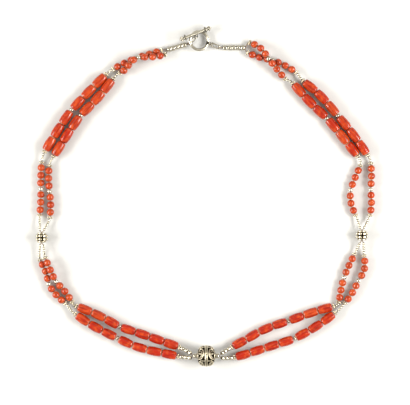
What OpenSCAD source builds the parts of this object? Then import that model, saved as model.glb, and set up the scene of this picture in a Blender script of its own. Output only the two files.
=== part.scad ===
// Two-strand coral necklace with silver beads and a toggle clasp, fastened and lying flat.
// X runs to the right, Y towards the clasp and Z up. The origin is on the surface the necklace
// lies on, in the middle of its outline.

/* [Coral] */
// Diameter of a round coral bead
round_d = 3.2; // [3:0.05:3.25]
// Length of a coral barrel beside the neck
barrel_l = 6.8; // [6.5:0.05:6.85]
// Length of a coral barrel at the front
front_barrel_l = 6.5; // [6.4:0.05:6.6]
// Diameter of a coral barrel at its middle
barrel_d = 4.1; // [3.8:0.05:4.15]
// Diameter of a coral barrel at its ends
barrel_end_d = 1.5; // [1.2:0.1:2]
// Hole drilled through each coral bead
coral_bore = 0.9; // [0.8:0.05:1.1]

/* [Silver beads] */
// Diameter of a daisy, the flat bead at each end of a run of coral
daisy_d = 2.6; // [2.2:0.1:2.8]
// Thickness of a daisy
daisy_l = 1.05; // [0.9:0.05:1.1]
// Diameter of the spacers inside the runs of coral
spacer_d = 2.2; // [1.8:0.1:2.4]
// Length of the spacer between round coral beads
spacer_l = 1.55; // [1.3:0.05:1.6]
// Thickness of the spacer between coral barrels
disc_l = 1.05; // [0.9:0.05:1.1]
// Diameter of the small beads beside the front beads
run_bead_d = 1.9; // [1.6:0.1:2]
// Length of those beads
run_bead_l = 1.7; // [1.5:0.05:1.75]
// Diameter of the silver beads that hold both threads
shared_bead_d = 2.3; // [2:0.1:2.4]
// Length of those beads
shared_bead_l = 1.65; // [1.5:0.05:1.7]
// Hole for one thread through a silver bead
silver_bore = 0.8; // [0.7:0.05:1]
// Hole for two threads through a silver bead
shared_bore = 1.2; // [1.15:0.05:1.3]
// Diameter of a silver seed bead
seed_d = 1.2; // [1.1:0.05:1.2]

/* [Side beads] */
// Length of a side bead along the strand
side_l = 4.4; // [4:0.1:4.6]
// Diameter of a side bead over its cushions
side_d = 5.4; // [5:0.1:5.6]
// Cushions in each of its two rows
side_cushions = 7; // [6:1:8]

/* [Centre bead] */
// Length of the centre bead along the strand
centre_l = 7.9; // [7.5:0.1:8.2]
// Diameter of the centre bead over its middle bands
centre_d = 9.9; // [9.4:0.1:10]
// Scrolls round each half of the centre bead
centre_scrolls = 4; // [4:1:5]

/* [Clasp] */
// Outer diameter of the toggle ring
ring_d = 9.5; // [9.2:0.1:9.8]
// Wire of the toggle ring
ring_wire = 1.3; // [1.1:0.05:1.35]
// Length of the toggle bar over its knobs
bar_l = 15.6; // [14:0.2:16.5]
// Wire of the toggle bar
bar_wire = 1.4; // [1.2:0.1:1.5]
// Wire of the eyes and of the oval links
link_wire = 0.5; // [0.4:0.05:0.5]
// Tilt of the ring, whose left side lies on the link to the bar
ring_tilt = 12; // [11.5:0.5:12.5]

/* [Thread] */
// Diameter of the beading thread
thread_d = 0.4; // [0.3:0.05:0.45]
// Distance between the two threads inside a shared bead
thread_pitch = 0.5; // [0.45:0.05:0.6]

/* [Hidden] */
SILVER = "#d9d5c9";
CORAL = "#e2492a";
STRANDS = ["outer_left", "inner_left", "outer_right", "inner_right"];
SIDES = ["left", "right"];
TAIL_COUNT = 5;

// Segments of the smooth round faces
$fn = 48;
// Straight pieces that each span of a route is measured with
steps = 8;
// Sides of the thread and of the seed tubes
thread_sides = 6;
seed_sides = 8;
// Longest straight piece of a seed tube, the room at each of its ends, and the length over which
// its ends are rounded down to a smaller diameter
seed_step = 1.5;
seed_gap = 0.22;
seed_round = 0.4;
seed_end_d = 0.8;
// Room inside the tube for the thread
seed_bore = thread_d + 0.2;

// What is strung on each kind of stretch, in order from the clasp to the front
rounds = ["round", "round", "round"];
barrels = ["barrel", "barrel", "barrel"];
front_barrels = ["front barrel", "front barrel", "front barrel"];
// Columns: name of the stretch, its beads
STRETCHES = [
    ["rounds", concat("daisy", rounds, "spacer", rounds, "daisy")],
    ["barrels", concat("daisy", barrels, "disc", barrels, "daisy")],
    ["front barrels", concat("daisy", front_barrels, "disc", front_barrels, "front barrel", "daisy")],
    ["run", ["run bead", "run bead", "run bead"]],
    ["tail", [for (i = [1 : TAIL_COUNT]) "tail bead"]],
];
// Columns: kind of bead, its length along the thread
LENGTHS = [
    ["round", round_d],
    ["barrel", barrel_l],
    ["front barrel", front_barrel_l],
    ["daisy", daisy_l],
    ["spacer", spacer_l],
    ["disc", disc_l],
    ["run bead", run_bead_l],
    ["tail bead", shared_bead_l],
];

// Heights of a thread: in round beads on the surface, in barrels on it, and in round beads that lie
// on the other strand's
low = round_d / 2 + 0.1;
fat = barrel_d / 2 + 0.1;
top = low + 3.2;
tail_z = shared_bead_d / 2 + 0.05;

// Middle of each side bead and of the centre bead: x, y, z. The side beads are also turned about
// their holes.
side_left_at = [-74, -19, side_d / 2 + 0.05];
side_right_at = [70, -18, side_d / 2 + 0.05];
side_turns = [25, -13];
centre_at = [0, -72, centre_d / 2 + 0.05];
// Ends of the holes that both threads run straight through. The strands part beyond them, side by
// side, by the widths given here.
side_parting = 0.75;
front_parting = 1;
front_reach = centre_l / 2 + 0.2 + shared_bead_l + 0.2;
// A row of a route just outside a side bead's hole: across is 1 on the strand with the larger x,
// along is 1 towards the clasp
function by_side(at, across, along) = at + [across * side_parting, along * (side_l / 2 + 0.8), 0];
// The same outside the front beads: side is 1 on the right, inner is 1 on the inner strand
function by_front(side, inner) =
    centre_at + [side * (front_reach + 0.6), inner * front_parting, 0.2 * inner - 0.2];

// The route of each half strand from the clasp to the front. Columns: x, y, z of the thread, and
// the name of the stretch that starts there, if one does.
tail_left = [
    [-9, 68, tail_z, "tail"],
    [-17.5, 65.5, tail_z],
];
upper_outer_left = [
    [-19.5, 65.5, low, "rounds"],
    [-26, 63.5, low],
    [-31, 62, low],
    [-37, 59.5, low],
    [-42.5, 56.5, low, "seeds"],
    [-44.5, 55, fat, "barrels"],
    [-53, 46.5, fat],
    [-61, 38, fat],
    [-67, 29, fat],
    [-73, 19, fat, "seeds"],
    [-74, 15.5, low, "rounds"],
    [-74.5, 9, low],
    [-74.5, 3, low],
    [-74.5, -3, low],
    [-75, -9.5, low, "seeds"],
    by_side(side_left_at, -1, 1),
];
upper_inner_left = [
    [-18, 63.5, low + 0.8, "rounds"],
    [-21, 62.5, low + 2.4],
    [-24.5, 62, low + 3],
    [-30, 62, top],
    [-33.5, 60.5, top],
    [-36.5, 56, low + 1.4],
    [-39.5, 55, low - 0.3, "seeds"],
    [-41.5, 53, fat, "barrels"],
    [-48.5, 44, fat],
    [-56.5, 36, fat],
    [-63, 26.5, fat],
    [-69, 17, fat, "seeds"],
    [-70.5, 14, low, "rounds"],
    [-71, 8, low],
    [-70.5, 2, low],
    [-70, -4, low],
    [-70.5, -10.5, low, "seeds"],
    by_side(side_left_at, 1, 1),
];
lower_outer_left = [
    concat(by_side(side_left_at, -1, -1), "seeds"),
    [-75, -28.5, low, "rounds"],
    [-72, -34.5, low],
    [-71, -40, low],
    [-67.5, -45, low],
    [-63, -49, low, "seeds"],
    [-59.5, -53, fat, "front barrels"],
    [-50.5, -59, fat],
    [-40.5, -64, fat],
    [-30.5, -68.5, fat],
    [-21.5, -70.5, fat],
    [-12, -72.5, fat, "run"],
    by_front(-1, -1),
];
lower_inner_left = [
    concat(by_side(side_left_at, 1, -1), "seeds"),
    [-72.5, -27.5, low + 1.8, "rounds"],
    [-69.5, -34.5, low + 2.4],
    [-67.5, -39, low + 0.8],
    [-64, -42.5, low],
    [-60, -48.5, low, "seeds"],
    [-59, -49.5, fat + 0.4, "front barrels"],
    [-48, -54, fat],
    [-39, -59, fat],
    [-28.5, -62.5, fat],
    [-20, -65.5, fat],
    [-11.5, -68.5, fat, "run"],
    by_front(-1, 1),
];
tail_right = [
    [7.5, 66.5, tail_z, "tail"],
    [17.5, 66.5, tail_z],
];
upper_outer_right = [
    [18, 64.5, low, "rounds"],
    [24, 62, low],
    [29.5, 61, low],
    [35.5, 58.5, low],
    [41, 55, low, "seeds"],
    [43, 52, fat, "barrels"],
    [52, 44.5, fat],
    [59.5, 35.5, fat],
    [66.5, 27, fat],
    [73, 17.5, fat, "seeds"],
    [74, 15, low, "rounds"],
    [74.5, 8.5, low],
    [74, 2.5, low],
    [74.5, -3.5, low],
    [73.5, -9.5, low, "seeds"],
    by_side(side_right_at, 1, 1),
];
upper_inner_right = [
    [19, 69, low - 0.3, "rounds"],
    [24.5, 66.5, low + 1.5],
    [27.5, 62, top - 0.4],
    [29, 60, top - 0.4],
    [31.5, 57, low + 1.4],
    [36, 52, low, "seeds"],
    [38.5, 51, fat, "barrels"],
    [46.5, 42, fat],
    [54.5, 34.5, fat],
    [61.5, 26, fat],
    [68.5, 17, fat, "seeds"],
    [69.5, 14, low, "rounds"],
    [67, 8, low],
    [65, 2.5, low],
    [65, -3.5, low],
    [67.5, -9.5, low, "seeds"],
    by_side(side_right_at, -1, 1),
];
lower_outer_right = [
    concat(by_side(side_right_at, 1, -1), "seeds"),
    [71, -26.5, low, "rounds"],
    [71.5, -33, low],
    [68.5, -38.5, low],
    [65.5, -44.5, low],
    [62, -49, low, "seeds"],
    [58.5, -52.5, fat, "front barrels"],
    [49.5, -59, fat],
    [39.5, -64.5, fat],
    [30, -67.5, fat],
    [21, -70.5, fat],
    [12, -73, fat, "run"],
    by_front(1, -1),
];
lower_inner_right = [
    concat(by_side(side_right_at, -1, -1), "seeds"),
    [67, -26, low, "rounds"],
    [64, -32, low],
    [62, -37, low],
    [60.5, -43, low],
    [59.5, -48.7, low, "seeds"],
    [57.8, -49.6, fat + 0.4, "front barrels"],
    [46.5, -53, fat],
    [37, -56.5, fat],
    [26.5, -60, fat],
    [18.5, -64.5, fat],
    [10.9, -68.6, fat, "run"],
    by_front(1, 1),
];
// Middle of the toggle ring, middle of the bar from there, direction of the bar, and how far its
// eye rolls out from under it
ring_at = [-3.2, 69.6, 2.3];
bar_offset = [-2, 3];
bar_turn = 22;
eye_roll = 50;
// Direction of the ring's eye
ring_eye_turn = -15;
// Middle radius of an eye's wire, and half the width between the middles of a link's two arms
eye_r = 0.85;
link_r = 0.75;
// How far each link rolls about its length, and the turn of the thread through it
link_rolls = [40, 0];
turn_rolls = [-45, 0];
// Middle of a turn of the thread before the first shared bead
turn_lead = 1.4;

// Sum of a list from its first item on, one total for each item
function running(v) =
    [for (i = 0, s = v[0]; i < len(v); i = i + 1, s = s + (i < len(v) ? v[i] : 0)) s];
up = [0, 0, 1];
function spot(row) = [row.x, row.y, row.z];
function unit(v) = v / norm(v);
function find(table, name) = [for (row = table) if (row[0] == name) row[1]][0];

// Smooth curve through four points, between the second and the third
function blend(a, b, c, d, t) =
    b + t * (c - a) / 2 + t * t * (a - 2.5 * b + 2 * c - d / 2) + t * t * t * (1.5 * (b - c) + (d - a) / 2);
function curve(rows) = let (n = len(rows) - 1, p = [for (row = rows) spot(row)]) concat(
    [for (i = [0 : n - 1]) for (k = [0 : steps - 1])
        blend(p[max(i - 1, 0)], p[i], p[i + 1], p[min(i + 2, n)], k / steps)],
    [p[n]]
);
// Distance along a list of points, from the first to each
function distances(points) =
    concat(0, running([for (i = [1 : len(points) - 1]) norm(points[i] - points[i - 1])]));
function at_distance(points, along, s) =
    [for (axis = [0 : 2]) lookup(s, [for (i = [0 : len(points) - 1]) [along[i], points[i][axis]]])];

// Distances at which the beads of one stretch begin, and the last one's end. The room that the
// beads leave is shared out between them.
function bead_marks(name, from, to) = let (
    lengths = [for (kind = find(STRETCHES, name)) find(LENGTHS, kind)],
    ends = running(lengths),
    room = (to - from - ends[len(ends) - 1]) / len(ends)
) concat(from, [for (i = [0 : len(ends) - 1]) from + ends[i] + (i + 1) * room]);
function seed_marks(from, to) = let (
    start = from + seed_gap,
    end = to - seed_gap,
    count = ceil((end - start) / seed_step)
) concat(
    start,
    [for (i = [0 : count]) start + seed_round + (end - start - 2 * seed_round) * i / count],
    end
);
// The stretches of a route, each with its name and the points between its beads
function stretches(rows) = let (
    points = curve(rows),
    along = distances(points),
    starts = [for (i = [0 : len(rows) - 1]) if (len(rows[i]) > 3) i],
    last = len(starts) - 1
) [for (k = [0 : last]) let (
    name = rows[starts[k]][3],
    from = along[starts[k] * steps],
    to = along[(k < last ? starts[k + 1] : len(rows) - 1) * steps],
    marks = name == "seeds" ? seed_marks(from, to) : bead_marks(name, from, to)
) [name, [for (s = marks) at_distance(points, along, s)]]];

tails = [stretches(tail_left)[0], stretches(tail_right)[0]];
halves = [
    [stretches(upper_outer_left), stretches(lower_outer_left)],
    [stretches(upper_inner_left), stretches(lower_inner_left)],
    [stretches(upper_outer_right), stretches(lower_outer_right)],
    [stretches(upper_inner_right), stretches(lower_inner_right)],
];
// The beads of a stretch: kind, one end, other end
function strung(stretch) = stretch[0] == "seeds" ? [] : let (kinds = find(STRETCHES, stretch[0]))
    [for (i = [0 : len(kinds) - 1]) [kinds[i], stretch[1][i], stretch[1][i + 1]]];
function beads_of(half) = [for (part = half) for (stretch = part) for (bead = strung(stretch)) bead];
function seeds_of(half) = [for (part = half) for (stretch = part) if (stretch[0] == "seeds") stretch[1]];

// The clasp's middle radius, its eyes' distances from the ring's and the bar's middles, and the
// height of the bar over the ring
ring_r = (ring_d - ring_wire) / 2;
ring_eye_reach = ring_r + ring_wire / 2 + eye_r - 0.1;
bar_z = (ring_wire + bar_wire) / 2 + 0.1;
eye_drop = bar_wire / 2 + eye_r + link_wire / 2 - 0.2;
// Where a point of the tilted clasp lies
function tilted(p) = ring_at + [
    p.x * cos(ring_tilt) + p.z * sin(ring_tilt),
    p.y,
    p.z * cos(ring_tilt) - p.x * sin(ring_tilt)
];
ring_eye_at = tilted([ring_eye_reach * cos(ring_eye_turn), ring_eye_reach * sin(ring_eye_turn), 0]);
bar_eye_side = eye_drop * sin(eye_roll);
bar_eye_at = tilted([
    bar_offset.x + bar_eye_side * sin(bar_turn),
    bar_offset.y - bar_eye_side * cos(bar_turn),
    bar_z - eye_drop * cos(eye_roll)
]);

// Points inside the holes that both threads run straight through, from the clasp to the front
function side_hole(at) = [at + [0, side_l / 2, 0], at - [0, side_l / 2, 0]];
function front_hole(side) = [centre_at + side * [front_reach, 0, 0], centre_at];
// Points of one half strand's thread, raised or lowered where it shares a bead
function shifted(points, lift) = [for (p = points) p + [0, 0, lift]];
function thread_half(half, tail, side_at, side, lift) = concat(
    shifted(tail[1], lift),
    [for (stretch = half[0]) for (p = stretch[1]) p],
    shifted(side_hole(side_at), lift),
    [for (stretch = half[1]) for (p = stretch[1]) p],
    shifted(front_hole(side), lift)
);
// Points without the repeats that follow each other
function cleaned(v) = [for (i = [0 : len(v) - 1]) if (i == 0 || norm(v[i][0] - v[i - 1][0]) > 0.02) v[i]];
function backwards(v) = [for (i = [len(v) - 1 : -1 : 0]) v[i]];
// Turn of the thread round the end of a link: points and the directions away from its middle
turn_r = thread_pitch / 2 + 0.4;
function link_turn(i, angles) = let (
    ahead = unit(tail_aheads[i] + unit([bar_eye_at, ring_eye_at][i] - turn_at[i])),
    side = unit(cross(ahead, up)),
    upward = cos(turn_rolls[i]) * cross(side, ahead) + sin(turn_rolls[i]) * side
) [for (t = angles) let (away = cos(t) * upward + sin(t) * ahead) [turn_at[i] + turn_r * away, away]];
// The inner strand's thread is the upper one in a shared bead
lift = thread_pitch / 2;
tail_starts = [tails[0][1][0], tails[1][1][0]];
tail_aheads = [for (t = tails) unit(t[1][0] - t[1][1])];
turn_at = [for (i = [0, 1]) tail_starts[i] + turn_lead * tail_aheads[i]];
thread_path = cleaned(concat(
    [for (p = thread_half(halves[0], tails[0], side_left_at, -1, -lift)) [p, -up]],
    [for (p = backwards(thread_half(halves[2], tails[1], side_right_at, 1, -lift))) [p, -up]],
    link_turn(1, [180 : -30 : 0]),
    [for (p = thread_half(halves[3], tails[1], side_right_at, 1, lift)) [p, up]],
    [for (p = backwards(thread_half(halves[1], tails[0], side_left_at, -1, lift))) [p, up]],
    link_turn(0, [0 : 30 : 180])
));

// One ring of a tube's skin, square to the path
function ring(at, ahead, upward, r, sides) = let (n = unit(cross(upward, ahead)), b = cross(ahead, n))
    [for (k = [0 : sides - 1]) at + r * (cos(k * 360 / sides) * n + sin(k * 360 / sides) * b)];
function heading(points, i, closed) = let (n = len(points))
    unit(points[closed ? (i + 1) % n : min(i + 1, n - 1)] - points[closed ? (i + n - 1) % n : max(i - 1, 0)]);
// Closed skin over rings of equal size, whose last ring joins the first
module skin(rings) {
    n = len(rings);
    sides = len(rings[0]);
    polyhedron(
        points = [for (r = rings) for (p = r) p],
        faces = [for (i = [0 : n - 1]) for (k = [0 : sides - 1]) let (
            a = i * sides + k,
            b = i * sides + (k + 1) % sides,
            c = ((i + 1) % n) * sides + (k + 1) % sides,
            d = ((i + 1) % n) * sides + k
        ) each [[a, c, b], [a, d, c]]]
    );
}
// Drilled tube that stands for a run of seed beads
module seed_tube(points) {
    last = len(points) - 1;
    outside = [for (i = [0 : last]) i == 0 || i == last ? seed_end_d / 2 : seed_d / 2];
    function rings(radii) =
        [for (i = [0 : last]) ring(points[i], heading(points, i, false), up, radii[i], seed_sides)];
    skin(concat(rings(outside), backwards(rings([for (i = [0 : last]) seed_bore / 2]))));
}

// Places its children at the middle of a and b, with their Z axis along it
module between(a, b) {
    d = b - a;
    translate((a + b) / 2) rotate([0, acos(d.z / norm(d)), atan2(d.y, d.x)]) children();
}

// Round bead with flat ends, drilled
module ball_bead(d, l, bore) {
    rotate_extrude() intersection() {
        circle(d = d);
        translate([bore / 2, -l / 2]) square([d, l]);
    }
}
// Flat bead with a rounded rim, drilled
module disc_bead(d, l, bore) {
    rotate_extrude() {
        translate([d / 2 - l / 2, 0]) circle(d = l);
        translate([bore / 2, -l / 2]) square([d / 2 - l / 2 - bore / 2, l]);
    }
}
// Bellied bead with rounded shoulders, drilled
module barrel_bead(l) {
    belly_drop = 0.5;
    belly_r = (pow(l / 2, 2) + pow(belly_drop, 2)) / (2 * belly_drop);
    rotate_extrude() intersection() {
        translate([barrel_d / 2 - belly_r, 0]) circle(r = belly_r, $fn = 180);
        circle(r = norm([barrel_end_d, l]) / 2, $fn = 120);
        translate([coral_bore / 2, -l / 2]) square([barrel_d, l]);
    }
}
module bead(kind) {
    if (kind == "round") ball_bead(round_d, round_d, coral_bore);
    if (kind == "barrel") barrel_bead(barrel_l);
    if (kind == "front barrel") barrel_bead(front_barrel_l);
    if (kind == "daisy") disc_bead(daisy_d, daisy_l, silver_bore);
    if (kind == "spacer") ball_bead(spacer_d, spacer_l, silver_bore);
    if (kind == "disc") disc_bead(spacer_d, disc_l, silver_bore);
    if (kind == "run bead") ball_bead(run_bead_d, run_bead_l, silver_bore);
    if (kind == "tail bead") ball_bead(shared_bead_d, shared_bead_l, shared_bore);
}
// Beads of the given kinds along one half strand
module string_of(half, kinds) {
    for (b = beads_of(half)) if (len([for (k = kinds) if (k == b[0]) k]) > 0)
        between(b[1], b[2]) bead(b[0]);
}
module coral(half) { color(CORAL) string_of(half, ["round", "barrel", "front barrel"]); }
module daisies(half) { color(SILVER) string_of(half, ["daisy"]); }
module spacers(half) { color(SILVER) string_of(half, ["spacer", "disc"]); }
module run_beads(half) { color(SILVER) string_of(half, ["run bead"]); }
module seeds(half) { color(SILVER) for (points = seeds_of(half)) seed_tube(points); }
module tail_bead(tail, i) {
    b = strung(tail)[i - 1];
    color(SILVER) between(b[1], b[2]) bead(b[0]);
}

// Ring of round wire about the Z axis
module wire_ring(r, wire) { rotate_extrude() translate([r, 0]) circle(d = wire, $fn = 24); }

// Barrel of sheet silver with two rows of rounded cushions, parted by grooves, and a collar at each
// end. The turn brings a groove or a cushion uppermost.
module side_bead(at, turn) {
    cushion = 1.3;
    row_z = 0.73;
    groove = 0.3;
    collar_wire = 0.84;
    color(SILVER) translate(at) rotate([90, 0, 0]) rotate([0, 0, turn]) difference() {
        union() {
            cylinder(d = side_d - 1.5, h = side_l - 0.8, center = true);
            for (z = [-1, 1]) translate([0, 0, z * (side_l - collar_wire) / 2]) wire_ring(1.65, collar_wire);
            for (z = [-row_z, row_z]) translate([0, 0, z]) difference() {
                wire_ring((side_d - cushion) / 2, cushion);
                for (k = [1 : side_cushions]) rotate([0, 0, k * 360 / side_cushions])
                    translate([side_d / 2, 0, 0]) cube([1.2, groove, cushion + 0.1], center = true);
            }
        }
        cylinder(d = shared_bore, h = side_l + 1, center = true);
    }
}

module front_bead(side) {
    reach = centre_l / 2 + 0.1 + shared_bead_l / 2;
    color(SILVER) translate(centre_at + side * [reach, 0, 0]) rotate([0, 90, 0])
        ball_bead(shared_bead_d, shared_bead_l, shared_bore);
}

// Hollow bead with two bands round its middle. Scrolls of wire, rays and granules repeat on both
// halves.
module centre_bead() {
    body_l = centre_l - 0.9;
    body_d = centre_d - 0.9;
    neck_d = 4.4;
    drop = (body_d - neck_d) / 2;
    body_r = (pow(body_l / 2, 2) + drop * drop) / (2 * drop);
    wire = 0.52;
    scroll_r = 1.75;
    scroll_climb = 44;
    fan_climb = 26;
    first_scroll = 60;
    // Lays its children on the body, a turn round it and so far from its middle band
    module laid(turn, climb) {
        rotate([0, 0, turn]) translate([body_d / 2 - body_r, 0, 0]) rotate([0, -climb, 0])
            translate([body_r, 0, 0]) rotate([0, 90, 0]) children();
    }
    // A scroll is a long arc with its back to the middle bands, round a large granule
    module scroll() {
        translate([0, 0, -0.1]) rotate([0, 0, -100]) rotate_extrude(angle = 200)
            translate([scroll_r, 0]) circle(d = wire, $fn = 24);
        for (a = [-100, 100]) rotate([0, 0, a]) translate([scroll_r, 0, -0.1]) sphere(d = 0.7, $fn = 24);
        translate([-0.1, -0.6, 0]) sphere(d = 1.1, $fn = 24);
    }
    module half() {
        for (k = [1 : centre_scrolls]) {
            laid(first_scroll + k * 360 / centre_scrolls, scroll_climb) scroll();
            laid(first_scroll + (k + 0.5) * 360 / centre_scrolls, fan_climb) {
                for (s = [-1, 1]) translate([0, 0.35 * s, 0]) rotate([0, 0, -20 * s])
                    translate([-1.1, 0, 0]) rotate([0, 90, 0]) cylinder(d = 0.5, h = 2.2, center = true);
                for (y = [-0.7, 0, 0.7]) translate([0.4, y, 0]) sphere(d = 0.65, $fn = 24);
            }
        }
    }
    color(SILVER) translate(centre_at) rotate([0, 90, 0]) difference() {
        union() {
            rotate_extrude() intersection() {
                translate([body_d / 2 - body_r, 0]) circle(r = body_r, $fn = 120);
                translate([0, -body_l / 2]) square([body_d, body_l]);
            }
            cylinder(d = 3.2, h = centre_l, center = true);
            for (z = [-0.42, 0.42]) translate([0, 0, z]) wire_ring(centre_d / 2 - 0.25, 0.5);
            for (z = [-1, 1]) translate([0, 0, z * (centre_l / 2 - 0.35)]) wire_ring(1.9, 0.7);
            half();
            mirror([0, 0, 1]) half();
        }
        cylinder(d = shared_bore, h = centre_l + 1, center = true);
    }
}

// Tilts its children with the toggle ring
module on_ring() { translate(ring_at) rotate([0, ring_tilt, 0]) children(); }
module clasp_ring() {
    collar_at = ring_r + 0.6;
    color(SILVER) on_ring() {
        wire_ring(ring_r, ring_wire);
        rotate([0, 0, ring_eye_turn]) {
            translate([ring_eye_reach, 0, 0]) rotate([90, 0, 0]) wire_ring(eye_r, link_wire);
            translate([collar_at, 0, 0]) rotate([0, 90, 0]) cylinder(d = 1.9, h = 0.55, center = true);
        }
    }
}
module clasp_bar() {
    knob_d = 2.5;
    collar_d = 2.7;
    color(SILVER) on_ring() translate([bar_offset.x, bar_offset.y, bar_z]) rotate([0, 0, bar_turn]) {
        rotate([0, 90, 0]) {
            cylinder(d = bar_wire, h = bar_l - knob_d, center = true);
            for (s = [-1, 1]) {
                translate([0, 0, s * (bar_l - knob_d) / 2]) sphere(d = knob_d);
                translate([0, 0, s * (bar_l / 2 - knob_d - 0.35)])
                    cylinder(d = collar_d, h = 0.6, center = true);
            }
        }
        rotate([-eye_roll, 0, 0]) translate([0, 0, -eye_drop]) rotate([90, 0, 0]) wire_ring(eye_r, link_wire);
    }
}

// Oval link whose wire is centred on a and b at its two ends. Its arms are a little thicker, so
// that they take in the ends of the half rings.
module link(a, b, roll) {
    arm_d = link_wire + 0.06;
    d = b - a;
    half = norm(d) / 2 - link_r;
    color(SILVER) translate((a + b) / 2) rotate([0, 0, atan2(d.y, d.x)])
        rotate([roll, -atan2(d.z, norm([d.x, d.y])), 0]) {
            for (s = [-1, 1]) {
                translate([0, s * link_r, 0]) rotate([0, 90, 0])
                    cylinder(d = arm_d, h = 2 * half + 0.1, center = true);
                translate([s * half, 0, 0]) rotate([0, 0, -s * 90]) rotate_extrude(angle = 180)
                    translate([link_r, 0]) circle(d = link_wire, $fn = 24);
            }
        }
}

module thread() {
    points = [for (p = thread_path) p[0]];
    color("#8f8a7c") skin([for (i = [0 : len(points) - 1])
        ring(points[i], heading(points, i, true), thread_path[i][1], thread_d / 2, thread_sides)]);
}

for (k = [0 : 3]) {
    coral(halves[k]);
    daisies(halves[k]);
    spacers(halves[k]);
    run_beads(halves[k]);
    seeds(halves[k]);
}
for (k = [0, 1]) {
    side_bead([side_left_at, side_right_at][k], side_turns[k]);
    front_bead([-1, 1][k]);
    link([bar_eye_at, ring_eye_at][k], turn_at[k], link_rolls[k]);
    for (i = [1 : TAIL_COUNT])
        tail_bead(tails[k], i);
}
centre_bead();
clasp_ring();
clasp_bar();
thread();
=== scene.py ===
import bmesh
import bpy
import numpy as np
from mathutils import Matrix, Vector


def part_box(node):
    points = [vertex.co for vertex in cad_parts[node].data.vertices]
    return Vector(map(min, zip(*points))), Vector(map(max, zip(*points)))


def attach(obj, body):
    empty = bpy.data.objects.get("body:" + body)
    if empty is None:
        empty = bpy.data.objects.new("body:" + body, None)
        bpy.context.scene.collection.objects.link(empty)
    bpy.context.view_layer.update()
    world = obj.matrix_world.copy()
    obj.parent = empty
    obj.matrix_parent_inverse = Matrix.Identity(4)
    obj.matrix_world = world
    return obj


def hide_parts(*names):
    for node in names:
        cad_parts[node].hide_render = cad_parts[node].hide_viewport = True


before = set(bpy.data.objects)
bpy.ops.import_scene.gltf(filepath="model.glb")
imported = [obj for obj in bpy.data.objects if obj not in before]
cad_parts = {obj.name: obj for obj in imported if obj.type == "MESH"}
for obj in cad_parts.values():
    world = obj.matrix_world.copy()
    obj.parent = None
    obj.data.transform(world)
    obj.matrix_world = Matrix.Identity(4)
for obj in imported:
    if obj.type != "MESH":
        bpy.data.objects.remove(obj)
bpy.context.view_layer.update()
rng = np.random.default_rng(7)

# Camera, lights and the white sheet
# The necklace lies on a sheet of white acrylic in a light tent and is photographed from straight above.
# A softbox stands on each side, and the tent's cloth fills in the rest.
MM = 0.001
frame_width = 184.5 * MM
frame_middle = (-0.55 * MM, -3.2 * MM)
camera_height = 0.9
strand_height = 2 * MM
sensor_width = 36

camera = bpy.data.objects.new("camera", bpy.data.cameras.new("camera"))
bpy.context.scene.collection.objects.link(camera)
camera.location = (*frame_middle, camera_height)
camera.data.sensor_width = sensor_width
camera.data.lens = sensor_width * (camera_height - strand_height) / frame_width
camera.data.clip_start = 0.01
bpy.context.scene.camera = camera
bpy.context.scene.view_settings.view_transform = "Standard"


def linear(code):
    """Linear colour of an sRGB hex value: each channel over 12.92 when small, and a 2.4 power above that."""
    c = np.array([int(code[i : i + 2], 16) for i in (1, 3, 5)]) / 255
    return (*np.where(c < 0.04045, c / 12.92, ((c + 0.055) / 1.055) ** 2.4), 1.0)


def add(tree, kind, inputs=(), **settings):
    """Adds a node with its settings. Inputs are pairs of a socket and a value or another node's output."""
    made = tree.nodes.new(kind)
    for name, value in settings.items():
        setattr(made, name, value)
    for name, value in inputs:
        if isinstance(value, bpy.types.NodeSocket):
            tree.links.new(value, made.inputs[name])
        else:
            made.inputs[name].default_value = value
    return made


def new_material(name):
    """Material with an empty Principled shader, and its node tree and shader."""
    made = bpy.data.materials.new(name)
    made.use_nodes = True
    return made, made.node_tree, made.node_tree.nodes["Principled BSDF"]


# A blend of colours takes its factor on socket 0 and its colours on 6 and 7, and gives the blend on 2
COLOUR = {"data_type": "RGBA"}
# A rise with soft ends takes a value on socket 0, where it starts and ends on 1 and 2, and what it rises
# from and to on 3 and 4, which are 0 and 1 where they aren't given
SOFT = {"interpolation_type": "SMOOTHSTEP"}

world = bpy.data.worlds.new("light_tent")
world.use_nodes = True
bpy.context.scene.world = world
tree = world.node_tree
way = add(tree, "ShaderNodeSeparateXYZ", [(0, add(tree, "ShaderNodeTexCoord").outputs["Generated"])])
# The cloth is dim near the table and brightest half way up, where the lamps behind it shine through
lit = add(tree, "ShaderNodeMapRange", [(0, way.outputs["Z"]), (1, 0.2), (2, 0.65)], **SOFT)
walls = add(tree, "ShaderNodeMix", [
    (0, lit.outputs[0]), (6, linear("#615c53")), (7, linear("#f2efe9"))
], **COLOUR)
roof = add(tree, "ShaderNodeMapRange", [(0, way.outputs["Z"]), (1, 0.8), (2, 0.97)], **SOFT)
cloth = add(tree, "ShaderNodeMix", [
    (0, roof.outputs[0]), (6, walls.outputs[2]), (7, linear("#aeaaa3"))
], **COLOUR)
tree.links.new(cloth.outputs[2], tree.nodes["Background"].inputs["Color"])
# The far wall is a little brighter than the near one
far = add(tree, "ShaderNodeMapRange", [
    (0, way.outputs["Y"]), (1, -1.0), (2, 1.0), (3, 0.78), (4, 1.16)
], **SOFT)
tree.links.new(far.outputs[0], tree.nodes["Background"].inputs["Strength"])

softbox_y = -0.05
softbox_width, softbox_length = 0.26, 0.56
softbox_power = 8.6
for name, x, z in (("softbox_left", -0.7, 0.4), ("softbox_right", 0.62, 0.48)):
    light = bpy.data.lights.new(name, "AREA")
    light.shape = "RECTANGLE"
    light.size = softbox_width
    light.size_y = softbox_length
    light.energy = softbox_power
    light.color = linear("#fffdfa")[:3]
    lamp = bpy.data.objects.new(name, light)
    bpy.context.scene.collection.objects.link(lamp)
    lamp.location = (x, softbox_y, z)
    lamp.rotation_euler = (0, np.arctan2(x, z), 0)

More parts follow.
